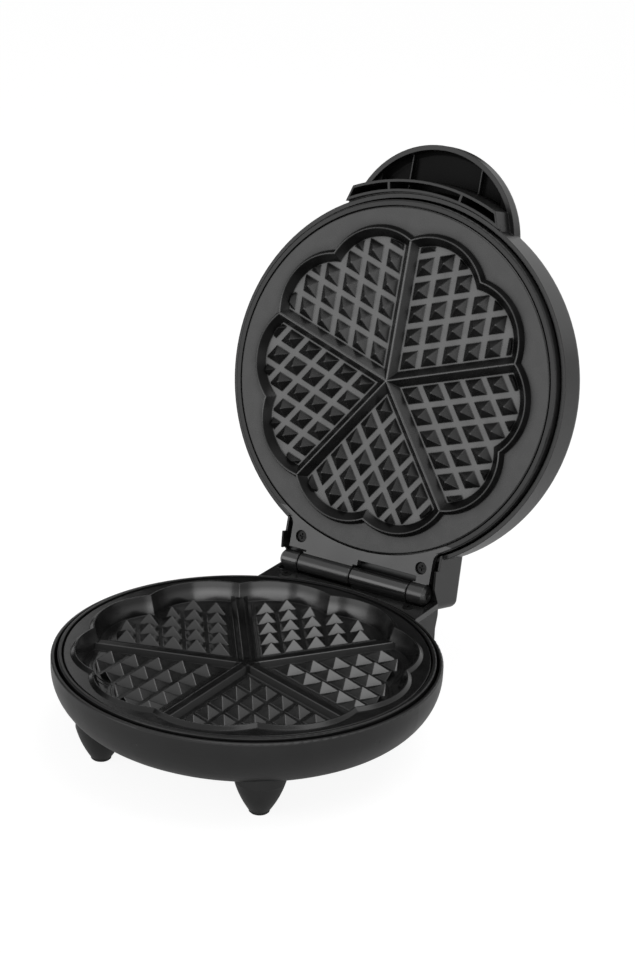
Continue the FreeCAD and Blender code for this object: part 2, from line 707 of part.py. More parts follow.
def make_lower_ring():
    """Ring round the lower plate, with the ledge that carries the plate."""
    top = LOWER_Z + RING_PROUD
    bottom = top - RING_SKIRT
    centre = point(LOWER_RING_OUTER - RING_EDGE, 0, top - RING_EDGE)
    ledge_inner = RING_INNER - LEDGE_WIDTH
    wire = outline(point(RING_INNER, 0, top),
                   [point(centre.x, 0, top), corner_arc(centre, RING_EDGE, 90, 0),
                    point(LOWER_RING_OUTER, 0, bottom), point(ledge_inner, 0, bottom),
                    point(ledge_inner, 0, LOWER_FLANGE_Z), point(RING_INNER, 0, LOWER_FLANGE_Z)])
    return one_solid(turned(wire))


def plate_flange(face, away):
    """Round plate with a small chamfer on the edge of its baking face."""
    back = face + away * FLANGE_THICKNESS
    wire = outline(point(0, 0, face),
                   [point(PLATE_RADIUS - PLATE_EDGE, 0, face),
                    point(PLATE_RADIUS, 0, face + away * PLATE_EDGE),
                    point(PLATE_RADIUS, 0, back), point(0, 0, back)])
    return turned(wire)


def make_lower_plate():
    """Lower plate: lobed lip, deep pocket, five low ridges and five pyramid fields."""
    peak, cusp = LOWER_PEAK, LOWER_CUSP
    flange = plate_flange(LOWER_Z, -1)
    tray = cylinder(peak + TRAY_WALL, TRAY_Z, LOWER_FLANGE_Z)
    lip = lobe_loft(peak, cusp, CREST_WIDTH + LIP_OUTER_RUN, LOWER_Z, CREST_WIDTH, CREST_Z)
    pocket = lobe_loft(peak, cusp, -POCKET_DRAFT, POCKET_Z, 0.0, CREST_Z)
    body = joined([flange, tray, lip]).cut(pocket)
    ridge = front_ridge(LOWER_RIDGE_BASE, LOWER_RIDGE_TOP, cusp, POCKET_Z, POCKET_Z + LOWER_RIDGE_HEIGHT)
    margin = POCKET_DRAFT + LOWER_PAD_MARGIN
    tier_z = POCKET_Z + LOWER_PAD_HEIGHT
    field_z = tier_z + LOWER_PAD_HEIGHT
    pads = [heart_pad(peak, cusp, margin, LOWER_PAD_INSET, POCKET_Z, tier_z),
            heart_pad(peak, cusp, margin + LOWER_TIER_MARGIN, LOWER_PAD_INSET + LOWER_TIER_INSET,
                      POCKET_Z, field_z)]
    cells = heart_pyramids(peak, cusp, POCKET_DRAFT + LOWER_FIELD_MARGIN, LOWER_FIELD_INSET, LOWER_VALLEY,
                           field_z, field_z + LOWER_PYRAMID)
    body = joined([body] + five_times([ridge] + pads + cells))
    seat, groove = heater_seat(TRAY_Z, -1)
    bosses = [cylinder(BOSS_RADIUS, TRAY_Z - PLATE_BOSS_HEIGHT, TRAY_Z, x, y)
              for x, y in casing_screw_places()]
    body = joined([body, seat] + bosses + shield_posts(TRAY_Z, -1))
    boss_hole_top = TRAY_Z - PLATE_BOSS_HEIGHT + PLATE_SCREW_BITE + SCREW_HOLE_SPARE
    holes = [cylinder(SCREW_HOLE, TRAY_Z - PLATE_BOSS_HEIGHT, boss_hole_top, x, y)
             for x, y in casing_screw_places()]
    holes += shield_post_holes(TRAY_Z, -1)
    holes += [cylinder(SCREW_HOLE, TRAY_Z, TRAY_Z + THERMOSTAT_SCREW_BITE, x, y)
              for x, y in thermostat_screw_places() + [fuse_screw_place()]]
    return one_solid(body.cut([groove] + holes))


def make_casing_screws():
    seat = FLOOR_Z + CASING_SCREW_FLOOR
    bite = TRAY_Z - PLATE_BOSS_HEIGHT - seat + PLATE_SCREW_BITE
    return [screw(x, y, seat, -1, bite) for x, y in casing_screw_places()]


def thermostat_screw_places():
    reach = THERMOSTAT_EAR - SCREW_HEAD_RADIUS
    return [(-reach, 0.0), (reach, 0.0)]


def make_thermostat():
    """Disc thermostat on the back of the lower plate, with two ears and two tabs."""
    body = cylinder(THERMOSTAT_RADIUS, TRAY_Z - THERMOSTAT_HEIGHT, TRAY_Z)
    ears = block(-THERMOSTAT_EAR, THERMOSTAT_EAR, -SCREW_HEAD_RADIUS, SCREW_HEAD_RADIUS,
                 TRAY_Z - THERMOSTAT_EAR_THICKNESS, TRAY_Z)
    half = THERMOSTAT_TAB_WIDTH / 2
    low = TRAY_Z - THERMOSTAT_HEIGHT - THERMOSTAT_TAB_LENGTH
    tabs = []
    for side in (-1, 1):
        centre = side * THERMOSTAT_RADIUS / 2
        tabs.append(block(centre - SHIELD_THICKNESS / 2, centre + SHIELD_THICKNESS / 2, -half, half,
                          low, TRAY_Z - THERMOSTAT_HEIGHT))
    holes = [cylinder(SCREW_HOLE, TRAY_Z - THERMOSTAT_EAR_THICKNESS, TRAY_Z, x, y)
             for x, y in thermostat_screw_places()]
    return one_solid(joined([body, ears] + tabs).cut(holes))


def make_thermostat_screws():
    seat = TRAY_Z - THERMOSTAT_EAR_THICKNESS
    bite = THERMOSTAT_EAR_THICKNESS + THERMOSTAT_SCREW_BITE - SCREW_HOLE_SPARE / 2
    return [screw(x, y, seat, -1, bite) for x, y in thermostat_screw_places()]


def fuse_screw_place():
    return 0.0, FUSE_PLACE + FUSE_RADIUS + FUSE_CLIP_WALL + FUSE_CLIP_EAR / 2


def fuse_z():
    return TRAY_Z - FUSE_CLIP_WALL - FUSE_RADIUS


def make_thermal_fuse():
    return rod(FUSE_RADIUS, -FUSE_LENGTH / 2, FUSE_LENGTH / 2, FUSE_PLACE, fuse_z())


def make_fuse_clip():
    """Sleeve round the thermal fuse with a flat ear under one screw."""
    half = FUSE_RADIUS + FUSE_CLIP_WALL
    length = FUSE_CLIP_LENGTH / 2
    sleeve = block(-length, length, FUSE_PLACE - half, FUSE_PLACE + half, TRAY_Z - 2 * half, TRAY_Z)
    ear = block(-length, length, FUSE_PLACE, FUSE_PLACE + half + FUSE_CLIP_EAR,
                TRAY_Z - FUSE_CLIP_WALL, TRAY_Z)
    x, y = fuse_screw_place()
    holes = [rod(FUSE_RADIUS + SCREW_FIT, -length, length, FUSE_PLACE, fuse_z()),
             cylinder(SCREW_HOLE, TRAY_Z - FUSE_CLIP_WALL, TRAY_Z, x, y)]
    return one_solid(sleeve.fuse(ear).cut(holes))


def make_fuse_clip_screw():
    x, y = fuse_screw_place()
    bite = FUSE_CLIP_WALL + THERMOSTAT_SCREW_BITE - SCREW_HOLE_SPARE / 2
    return screw(x, y, TRAY_Z - FUSE_CLIP_WALL, -1, bite)


def block_ways():
    step = BLOCK_WIDTH / BLOCK_WAYS
    return [(index + 0.5) * step - BLOCK_WIDTH / 2 for index in range(BLOCK_WAYS)]


def make_terminal_block():
    """Ceramic block on the casing's floor, with a bore and a screw hole for each way."""
    top = INNER_FLOOR_Z + BLOCK_HEIGHT
    body = block(-BLOCK_WIDTH / 2, BLOCK_WIDTH / 2, BLOCK_FRONT, BLOCK_FRONT + BLOCK_DEPTH,
                 INNER_FLOOR_Z, top)
    holes = []
    for x in block_ways():
        start = point(x, BLOCK_FRONT, INNER_FLOOR_Z + BLOCK_HEIGHT / 2)
        holes.append(Part.makeCylinder(BLOCK_WAY_RADIUS, BLOCK_DEPTH, start, Y_AXIS))
        holes.append(cylinder(BLOCK_SCREW_RADIUS + SCREW_FIT, top - BLOCK_SCREW_DEPTH, top,
                              x, BLOCK_FRONT + BLOCK_DEPTH / 2))
    return one_solid(body.cut(holes))


def make_terminal_screws():
    top = INNER_FLOOR_Z + BLOCK_HEIGHT
    y = BLOCK_FRONT + BLOCK_DEPTH / 2
    screws = []
    for x in block_ways():
        stud = cylinder(BLOCK_SCREW_RADIUS, top - BLOCK_SCREW_DEPTH, top + BLOCK_SCREW_PROUD, x, y)
        slot = block(x - BLOCK_SCREW_RADIUS, x + BLOCK_SCREW_RADIUS, y - CROSS_WIDTH / 2,
                     y + CROSS_WIDTH / 2, top, top + BLOCK_SCREW_PROUD)
        screws.append(one_solid(stud.cut(slot)))
    return screws


def make_cord_gland():
    """Bush through the tower's rear wall, open for the supply lead."""
    start = point(0, TOWER_LOW_REAR - GLAND_LENGTH, GLAND_HEIGHT)
    neck = Part.makeCylinder(GLAND_NECK, GLAND_LENGTH, start, Y_AXIS)
    flange = Part.makeCylinder(GLAND_FLANGE, GLAND_FLANGE_THICKNESS,
                               point(0, TOWER_LOW_REAR, GLAND_HEIGHT), Y_AXIS)
    bore = Part.makeCylinder(GLAND_BORE, GLAND_LENGTH + GLAND_FLANGE_THICKNESS, start, Y_AXIS)
    return one_solid(neck.fuse(flange).cut(bore))


def knuckle(radius, x0, chamfer0, x1, chamfer1):
    """Hinge barrel along X, each end with its own chamfer."""
    inner0 = x0 + chamfer0
    inner1 = x1 - chamfer1
    first = Part.makeCone(radius - chamfer0, radius, chamfer0, point(x0, HINGE_Y, HINGE_Z), X_AXIS)
    last = Part.makeCone(radius, radius - chamfer1, chamfer1, point(inner1, HINGE_Y, HINGE_Z), X_AXIS)
    return joined([first, rod(radius, inner0, inner1, HINGE_Y, HINGE_Z), last])


def pin_bore():
    reach = TOWER_HALF_WIDTH + TOWER_WALL
    return rod(PIN_RADIUS + PIN_FIT, -reach, reach, HINGE_Y, HINGE_Z)


def make_hinge_bracket():
    """Strip on the tower's top with a trough for the barrels and the two base barrels."""
    top = TOWER_TOP_Z + BRACKET_THICKNESS
    trough = HINGE_Z - SWEEP_RADIUS
    strip = block(-TOWER_HALF_WIDTH, TOWER_HALF_WIDTH, TOWER_FRONT, TOWER_REAR, TOWER_TOP_Z, top)
    strip = strip.cut([cylinder(CASING_RADIUS + BRACKET_GAP, TOWER_TOP_Z, top),
                       block(BASE_KNUCKLE_LEFT, LID_KNUCKLE_END + KNUCKLE_END_GAP,
                             HINGE_Y - SWEEP_RADIUS, TOWER_REAR, trough, top)])
    pieces = [strip]
    for x0, chamfer, x1 in ((BASE_KNUCKLE_LEFT, END_CHAMFER, BASE_KNUCKLE_LEFT_END),
                            (BASE_KNUCKLE_MIDDLE, KNUCKLE_CHAMFER, BASE_KNUCKLE_MIDDLE_END)):
        pieces.append(knuckle(KNUCKLE_RADIUS, x0, chamfer, x1, KNUCKLE_CHAMFER))
        pieces.append(block(x0 + chamfer, x1 - KNUCKLE_CHAMFER, HINGE_Y - KNUCKLE_RADIUS / 2,
                            TOWER_REAR, TOWER_TOP_Z, HINGE_Z))
    holes = [pin_bore()]
    for x, y in bracket_screw_places():
        holes.append(cylinder(SCREW_HOLE, TOWER_TOP_Z, top, x, y))
        holes.append(cylinder(SCREW_HEAD_RADIUS + SCREW_FIT, top - BRACKET_SCREW_SINK, top, x, y))
    return one_solid(joined(pieces).cut(holes))


def make_bracket_screws():
    seat = TOWER_TOP_Z + BRACKET_THICKNESS - BRACKET_SCREW_SINK
    bite = BRACKET_THICKNESS - BRACKET_SCREW_SINK + TOWER_WALL
    return [screw(x, y, seat, 1, bite) for x, y in bracket_screw_places()]


def make_hinge_pin():
    return rod(PIN_RADIUS, BASE_KNUCKLE_LEFT + PIN_SINK, LID_KNUCKLE_END - PIN_SINK, HINGE_Y, HINGE_Z)


# Lid, drawn closed
def plate_screw_places():
    return around(LID_SCREW_COUNT, PLATE_SCREW_ANGLE, UPPER_SCREW_PLACE)


def shell_screw_places():
    return around(LID_SCREW_COUNT, SHELL_SCREW_ANGLE, UPPER_SCREW_PLACE)


def hinge_screw_places():
    y = HINGE_Y - HINGE_SCREW_SETBACK
    return [(-HINGE_SCREW_X, y), (HINGE_SCREW_X, y)]


def hinge_screw_seat():
    return UPPER_RING_Z + HINGE_SCREW_SINK + SCREW_HEAD_HEIGHT


def shell_screw_seat():
    return UPPER_BACK_Z + SCREW_HEAD_HEIGHT


def land():
    """Flat land from the upper ring to the barrels, with round corners and notches over the base barrels."""
    hub_x = LAND_HALF_WIDTH + LAND_CORNER
    hub_y = math.sqrt((UPPER_RING_OUTER + LAND_CORNER) ** 2 - hub_x ** 2)
    end_y = HINGE_Y - SWEEP_RADIUS
    z = UPPER_RING_Z
    share = UPPER_RING_OUTER / (UPPER_RING_OUTER + LAND_CORNER)

    def side(sign):
        hub = point(sign * hub_x, hub_y, z)
        on_ring = point(sign * hub_x * share, hub_y * share, z)
        on_side = point(sign * LAND_HALF_WIDTH, hub_y, z)
        towards = (on_ring + on_side) / 2 - hub
        middle = hub + towards * (LAND_CORNER / towards.Length)
        return on_ring, middle, on_side

    left = side(-1)
    right = side(1)
    wire = outline(left[0], [(left[1], left[2]), point(-LAND_HALF_WIDTH, end_y, z),
                             point(LAND_HALF_WIDTH, end_y, z), right[2], (right[1], right[0])])
    plate = Part.Face(wire).extrude(point(0, 0, LAND_THICKNESS))
    cuts = [cylinder(RING_INNER, z, z + LAND_THICKNESS)]
    for x0, x1, depth in ((BASE_KNUCKLE_LEFT, BASE_KNUCKLE_LEFT_END, LEFT_NOTCH_DEPTH),
                          (BASE_KNUCKLE_MIDDLE, BASE_KNUCKLE_MIDDLE_END, MIDDLE_NOTCH_DEPTH)):
        cuts.append(block(x0 + NOTCH_SHIFT - CUT_SPARE, x1 + NOTCH_SHIFT, end_y - depth, end_y,
                          z, z + LAND_THICKNESS))
    return plate.cut(cuts)


def make_upper_ring():
    """Ring round the upper plate, with a ledge over the plate, the land and the lid's barrels."""
    centre = point(UPPER_RING_OUTER - RING_EDGE, 0, UPPER_RING_Z + RING_EDGE)
    ledge_inner = RING_INNER - UPPER_LEDGE_WIDTH
    wire = outline(point(RING_INNER, 0, UPPER_RING_Z),
                   [point(centre.x, 0, UPPER_RING_Z), corner_arc(centre, RING_EDGE, -90, 0),
                    point(UPPER_RING_OUTER, 0, UPPER_LEDGE_TOP), point(ledge_inner, 0, UPPER_LEDGE_TOP),
                    point(ledge_inner, 0, UPPER_BACK_Z), point(RING_INNER, 0, UPPER_BACK_Z)])
    pieces = [turned(wire), land()]
    for radius, x0, x1, chamfer in (
            (KNUCKLE_RADIUS, LID_KNUCKLE_LEFT, LID_KNUCKLE_LEFT_END, KNUCKLE_CHAMFER),
            (END_KNUCKLE_RADIUS, LID_KNUCKLE_RIGHT, LID_KNUCKLE_END, END_CHAMFER)):
        pieces.append(knuckle(radius, x0, KNUCKLE_CHAMFER, x1, chamfer))
        pieces.append(block(x0 + KNUCKLE_CHAMFER, x1 - chamfer, HINGE_Y - SWEEP_RADIUS, HINGE_Y,
                            UPPER_RING_Z, UPPER_RING_Z + LAND_THICKNESS))
    holes = [pin_bore()]
    for x, y in hinge_screw_places():
        holes.append(cylinder(SCREW_HEAD_RADIUS + HINGE_WELL_GAP, UPPER_RING_Z, hinge_screw_seat(), x, y))
        holes.append(cylinder(SCREW_HOLE, UPPER_RING_Z, UPPER_RING_Z + LAND_THICKNESS, x, y))
    for x, y in plate_screw_places():
        holes.append(cylinder(SCREW_HOLE, UPPER_BACK_Z, UPPER_LEDGE_TOP, x, y))
    for x, y in shell_screw_places():
        holes.append(cylinder(SCREW_HOLE, UPPER_BACK_Z, UPPER_LEDGE_TOP, x, y))
        holes.append(cylinder(SCREW_HEAD_RADIUS + SCREW_FIT, UPPER_BACK_Z, shell_screw_seat(), x, y))
    return one_solid(joined(pieces).cut(holes))


def make_upper_plate():
    """Upper plate: lobed fence, five sharp ridges and five pyramid fields on its lower face."""
    peak, cusp = UPPER_PEAK, UPPER_CUSP
    flange = plate_flange(UPPER_Z, 1)
    crest = UPPER_Z - FENCE_HEIGHT
    fence = lobe_loft(peak, cusp, CREST_WIDTH, crest, CREST_WIDTH + FENCE_OUTER_RUN, UPPER_Z)
    fence = fence.cut(lobe_loft(peak, cusp, 0.0, crest, -FENCE_INNER_RUN, UPPER_Z))
    ridge = front_ridge(UPPER_RIDGE_BASE, UPPER_RIDGE_TOP, cusp, UPPER_Z, UPPER_Z - UPPER_RIDGE_HEIGHT)
    margin = FENCE_INNER_RUN + UPPER_FIELD_MARGIN
    cells = heart_pyramids(peak, cusp, margin, UPPER_FIELD_INSET, UPPER_VALLEY,
                           UPPER_Z, UPPER_Z - UPPER_PYRAMID)
    seat, groove = heater_seat(UPPER_BACK_Z, 1)
    body = joined([flange, fence, seat] + shield_posts(UPPER_BACK_Z, 1) + five_times([ridge] + cells))
    holes = [cylinder(SCREW_HOLE, UPPER_BACK_Z - PLATE_SCREW_BITE - SCREW_HOLE_SPARE / 2, UPPER_BACK_Z, x, y)
             for x, y in plate_screw_places()]
    return one_solid(body.cut([groove] + holes + shield_post_holes(UPPER_BACK_Z, 1)))


def make_plate_screws():
    bite = UPPER_LEDGE_THICKNESS + PLATE_SCREW_BITE
    return [screw(x, y, UPPER_LEDGE_TOP, 1, bite) for x, y in plate_screw_places()]


def make_shell_screws():
    bite = UPPER_LEDGE_TOP - shell_screw_seat() + SCREW_BITE
    return [screw(x, y, shell_screw_seat(), -1, bite) for x, y in shell_screw_places()]


def make_hinge_screws():
    bite = UPPER_RING_Z + LAND_THICKNESS - hinge_screw_seat() + SCREW_BITE
    return [screw(x, y, hinge_screw_seat(), -1, bite) for x, y in hinge_screw_places()]


def dome(radius, edge, z0, z1):
    """Upright cylinder whose upper edge is rounded."""
    centre = point(radius - edge, 0, z1 - edge)
    return turned(outline(point(0, 0, z0),
                          [point(radius, 0, z0), point(radius, 0, z1 - edge),
                           corner_arc(centre, edge, 0, 90), point(0, 0, z1)]))


def rear_block_outside():
    """Block behind the shell, its top rising to the rear, with a cheek beside each end of the hinge."""
    top = SHELL_TOP_Z + BLOCK_RISE
    stop_fall = STOP_LENGTH * math.cos(OPEN) / math.sin(OPEN)
    corners = [(REAR_BLOCK_FRONT, UPPER_RING_Z + CHEEK_SETBACK),
               (HINGE_Y - CHEEK_STEP, UPPER_RING_Z + CHEEK_SETBACK), (HINGE_Y - CHEEK_STEP, CHEEK_LOW_Z),
               (HINGE_Y - CHEEK_TURN, UPPER_RING_Z - CHEEK_TURN_DROP),
               (REAR_BLOCK_BACK - STOP_LENGTH, REAR_BLOCK_Z + stop_fall), (REAR_BLOCK_BACK, REAR_BLOCK_Z),
               (REAR_BLOCK_BACK, top), (REAR_BLOCK_FRONT, SHELL_TOP_Z)]
    body = prism_x(corners, -REAR_BLOCK_HALF_WIDTH, REAR_BLOCK_HALF_WIDTH)
    edges = [e for e in body.Edges if e.BoundBox.YMin > REAR_BLOCK_BACK - CLOSE
             and e.BoundBox.ZMax > top - CLOSE]
    edges += [e for e in body.Edges if e.BoundBox.ZMin > SHELL_TOP_Z - CLOSE
              and e.BoundBox.XLength < CLOSE]
    body = body.makeFillet(REAR_BLOCK_ROUND, edges)
    between = block(-CHEEK_INNER, CHEEK_INNER, REAR_BLOCK_FRONT, REAR_BLOCK_BACK, CHEEK_LOW_Z, REAR_BLOCK_Z)
    barrel = rod(KNUCKLE_RADIUS + KNUCKLE_CLEARANCE, -REAR_BLOCK_HALF_WIDTH, 0, HINGE_Y, HINGE_Z)
    return body.cut([between, barrel, cylinder(SHELL_INNER, CHEEK_LOW_Z, SHELL_RIM_Z)])


def rear_block_inside():
    low = REAR_BLOCK_Z + SHELL_WALL
    back = REAR_BLOCK_BACK - SHELL_WALL
    rise = BLOCK_RISE * (back - REAR_BLOCK_FRONT) / (REAR_BLOCK_BACK - REAR_BLOCK_FRONT)
    half = REAR_BLOCK_HALF_WIDTH - SHELL_WALL
    corners = [(REAR_BLOCK_FRONT, low), (back, low), (back, SHELL_INNER_TOP_Z + rise),
               (REAR_BLOCK_FRONT, SHELL_INNER_TOP_Z)]
    return prism_x(corners, -half, half)


def handle_hollow():
    """Finger hollow of the handle, outside the shell's wall, shallow at its two corners."""
    hollow = dome(HANDLE_RADIUS - HANDLE_WALL, HANDLE_ROUND - HANDLE_WALL, HANDLE_Z, SHELL_INNER_TOP_Z)
    hollow.translate(point(0, HANDLE_Y, 0))
    far = SHELL_RADIUS + HANDLE_RADIUS
    fills = [cylinder(SHELL_RADIUS, HANDLE_Z, SHELL_TOP_Z)]
    for x0, x1 in ((-far, -HANDLE_CORNER_X), (HANDLE_CORNER_X, far)):
        fills.append(block(x0, x1, -far, 0, HANDLE_Z + HANDLE_CORNER_DEPTH, SHELL_TOP_Z))
    return hollow.cut(fills)


def bar_ends(radius0, radius1, inset):
    """Headings of the bar's leaning right end at two radii, moved inwards by an angle."""
    return tuple(BAR_HALF_ANGLE - inset + (BAR_OUTER - radius) * BAR_END_LEAN
                 for radius in (radius0, radius1))


def mirrored(ends):
    return tuple(-angle for angle in ends)


def slotted_bar():
    """Arc-shaped bar in front of the handle's hollow, with three slots in its face."""
    face = UPPER_Z + BAR_FACE
    ends = bar_ends(BAR_INNER, BAR_OUTER, 0)
    bar = sector(BAR_INNER, BAR_OUTER, mirrored(ends), ends, face, SHELL_INNER_TOP_Z)
    root_inner = SHELL_RADIUS - SHELL_WALL / 2
    root_outer = BAR_INNER + BAR_WALL
    ends = bar_ends(root_inner, root_outer, 0)
    root = sector(root_inner, root_outer, mirrored(ends), ends,
                  SHELL_RIM_Z + BAR_ROOT_SETBACK, SHELL_INNER_TOP_Z)
    wall = math.degrees(BAR_WALL / BAR_OUTER)
    slot_outer = BAR_OUTER - BAR_WALL
    far = bar_ends(root_outer, slot_outer, wall)
    near = (BAR_WEB_ANGLE + wall / 2, BAR_WEB_ANGLE + wall / 2)
    middle = (BAR_WEB_ANGLE - wall / 2, BAR_WEB_ANGLE - wall / 2)
    slots = [sector(root_outer, slot_outer, start, end, face, face + BAR_SLOT_DEPTH)
             for start, end in ((mirrored(far), mirrored(near)), (mirrored(middle), middle), (near, far))]
    return bar.fuse(root).cut(slots)


def handle_ribs():
    ribs = []
    for x in (-HANDLE_RIB_X, HANDLE_RIB_X):
        rib = block(x - HANDLE_RIB_THICKNESS / 2, x + HANDLE_RIB_THICKNESS / 2,
                    HANDLE_Y - HANDLE_RADIUS, -SHELL_RADIUS + HANDLE_WALL,
                    SHELL_INNER_TOP_Z - HANDLE_RIB_HEIGHT, SHELL_INNER_TOP_Z)
        ribs.append(rib.common(cylinder(HANDLE_RADIUS - HANDLE_WALL / 2, HANDLE_Z, SHELL_TOP_Z, 0, HANDLE_Y)))
    return ribs


def lamp_places():
    return {"power": (-LAMP_X, LAMP_Y), "ready": (LAMP_X, LAMP_Y)}


def make_upper_shell():
    """Lid cover with the rear block, the handle cup, the slotted bar and the screw posts."""
    handle = dome(HANDLE_RADIUS, HANDLE_ROUND, HANDLE_Z, SHELL_TOP_Z).translated(point(0, HANDLE_Y, 0))
    outside = dome(SHELL_RADIUS, SHELL_ROUND, SHELL_RIM_Z, SHELL_TOP_Z)
    inside = dome(SHELL_INNER, SHELL_ROUND - SHELL_WALL, SHELL_RIM_Z, SHELL_INNER_TOP_Z)
    body = joined([outside, handle, rear_block_outside()])
    body = body.cut([inside, rear_block_inside(), handle_hollow()])
    posts = [cylinder(BOSS_RADIUS, UPPER_LEDGE_TOP, SHELL_INNER_TOP_Z, x, y)
             for x, y in shell_screw_places()]
    land_back = UPPER_RING_Z + LAND_THICKNESS
    posts += [cylinder(BOSS_RADIUS, land_back, SHELL_INNER_TOP_Z, x, y) for x, y in hinge_screw_places()]
    body = joined([body, slotted_bar()] + handle_ribs() + posts)
    deep = SCREW_BITE + SCREW_HOLE_SPARE
    holes = [cylinder(SCREW_HOLE, UPPER_LEDGE_TOP, UPPER_LEDGE_TOP + deep, x, y)
             for x, y in shell_screw_places()]
    holes += [cylinder(SCREW_HOLE, land_back, land_back + deep, x, y) for x, y in hinge_screw_places()]
    holes += [cylinder(LENS_RADIUS + LENS_FIT, SHELL_INNER_TOP_Z, SHELL_TOP_Z, x, y)
              for x, y in lamp_places().values()]
    return one_solid(body.cut(holes))


def make_lens(x, y):
    """Domed lamp lens, flanged under the shell, with a skirt that grips the lamp."""
    flange_z = SHELL_INNER_TOP_Z - LENS_FLANGE_THICKNESS
    skirt_z = flange_z - LENS_SKIRT
    grip = LAMP_RADIUS + LENS_FIT
    crown = SHELL_TOP_Z + LENS_PROUD
    edge = point(LENS_RADIUS - LENS_ROUND, 0, crown - LENS_ROUND)
    wire = outline(point(0, 0, flange_z),
                   [point(grip, 0, flange_z), point(grip, 0, skirt_z), point(LENS_RADIUS, 0, skirt_z),
                    point(LENS_RADIUS, 0, flange_z), point(LENS_FLANGE, 0, flange_z),
                    point(LENS_FLANGE, 0, SHELL_INNER_TOP_Z), point(LENS_RADIUS, 0, SHELL_INNER_TOP_Z),
                    point(LENS_RADIUS, 0, edge.z), corner_arc(edge, LENS_ROUND, 0, 90),
                    point(0, 0, crown)])
    return one_solid(turned(wire, x, y))


def make_lamp(x, y):
    top = SHELL_INNER_TOP_Z - LENS_FLANGE_THICKNESS
    return cylinder(LAMP_RADIUS, top - LAMP_LENGTH, top, x, y)


def base_pieces():
    pieces = {"lower_casing": make_lower_casing(), "lower_ring": make_lower_ring(),
              "lower_baking_plate": make_lower_plate(),
              "lower_heating_element": heater(TRAY_Z, -1), "lower_heat_shield": heat_shield(TRAY_Z, -1),
              "lower_shield_screws": shield_screws(TRAY_Z, -1), "casing_screws": make_casing_screws(),
              "thermostat": make_thermostat(), "thermostat_screws": make_thermostat_screws(),
              "thermal_fuse": make_thermal_fuse(), "fuse_clip": make_fuse_clip(),
              "fuse_clip_screw": make_fuse_clip_screw(), "terminal_block": make_terminal_block(),
              "terminal_screws": make_terminal_screws(), "cord_gland": make_cord_gland(),
              "hinge_bracket": make_hinge_bracket(), "bracket_screws": make_bracket_screws(),
              "hinge_pin": make_hinge_pin()}
    for name, (x, y) in leg_places().items():
        pieces["foot_pad_" + name] = make_foot_pad(x, y)
    return pieces


def lid_pieces():
    pieces = {"upper_ring": make_upper_ring(), "upper_baking_plate": make_upper_plate(),
              "upper_heating_element": heater(UPPER_BACK_Z, 1),
              "upper_heat_shield": heat_shield(UPPER_BACK_Z, 1),
              "upper_shield_screws": shield_screws(UPPER_BACK_Z, 1),
              "upper_plate_screws": make_plate_screws(), "shell_screws": make_shell_screws(),
              "hinge_screws": make_hinge_screws(), "upper_shell": make_upper_shell()}
    for name, (x, y) in lamp_places().items():
        pieces[name + "_lens"] = make_lens(x, y)
        pieces[name + "_lamp"] = make_lamp(x, y)
    return pieces


def grouped(piece):
    return Part.makeCompound(piece) if isinstance(piece, list) else piece


def main():
    hinge = point(0, HINGE_Y, HINGE_Z)
    placed = {name: grouped(piece) for name, piece in base_pieces().items()}
    for name, piece in lid_pieces().items():
        placed[name] = grouped(piece).rotated(hinge, X_AXIS, -OPEN_ANGLE)
    boxes = [shape.optimalBoundingBox() for shape in placed.values()]
    centre_y = (min(box.YMin for box in boxes) + max(box.YMax for box in boxes)) / 2
    os.makedirs("parts", exist_ok=True)
    for name, shape in placed.items():
        shape.translated(point(0, -centre_y, 0)).exportStep("parts/%s.step" % name)
    print("base axis at y = %.3f" % -centre_y)
    print("hinge axis at y = %.3f, z = %.3f" % (HINGE_Y - centre_y, HINGE_Z))


main()
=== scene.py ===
import bpy
import json
import math
from mathutils import Matrix, Vector


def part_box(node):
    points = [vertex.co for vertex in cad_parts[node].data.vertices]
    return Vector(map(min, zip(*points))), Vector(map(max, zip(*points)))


# Waffle maker with five heart fields, lid open. Metres, in the frame of the CAD model.
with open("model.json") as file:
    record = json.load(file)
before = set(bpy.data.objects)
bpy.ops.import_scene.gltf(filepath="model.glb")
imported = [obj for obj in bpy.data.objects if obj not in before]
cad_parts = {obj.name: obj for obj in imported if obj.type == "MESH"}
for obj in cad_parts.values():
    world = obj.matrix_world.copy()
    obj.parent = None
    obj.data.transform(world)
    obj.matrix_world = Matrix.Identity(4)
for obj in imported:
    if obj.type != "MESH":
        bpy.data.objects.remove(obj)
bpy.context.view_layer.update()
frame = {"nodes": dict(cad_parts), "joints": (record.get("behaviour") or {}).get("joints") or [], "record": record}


def box_middle(node):
    low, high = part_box(node)
    return (low + high) / 2


# The base: its upright axis and the height of its rim
BASE_BACK = box_middle("lower_ring").y
RIM_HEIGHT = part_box("lower_casing")[1].z

# The lid's place: turned open about the hinge axis; its own lengths are from that axis, lid closed
HINGE = Vector(frame["joints"][0]["pos_m"])
LID_TURN = -math.radians(frame["joints"][0]["range_deg"][1])
LID_BACK = BASE_BACK - HINGE.y
LAND_FRONT = -0.03
# Bounds of the handle's hollow, which takes painted shade, and of its ribs' edges, which are left out of it
HANDLE_BACK = -0.1948
HANDLE_HOLLOW_RADIUS = 0.0498
HANDLE_HOLLOW_LOW = 0.0171
HANDLE_HOLLOW_HIGH = 0.0277
HANDLE_RIB_X = 0.022
HANDLE_RIB_EDGE = 0.0238
HANDLE_RIB_WIDTH = 0.0012

# The photograph's camera; its place is given from the middle of the base at the height of its rim
IMAGE_HEIGHT = 953
FOCAL_PIXELS = 2353.75
SENSOR_HEIGHT = 36.0
CAMERA_FROM_RIM = Vector((0.6021, -0.9578, 0.5370))
CAMERA_AZIMUTH = math.radians(30.47)
CAMERA_ELEVATION = math.radians(21.05)
CAMERA_ROLL = math.radians(2.29)
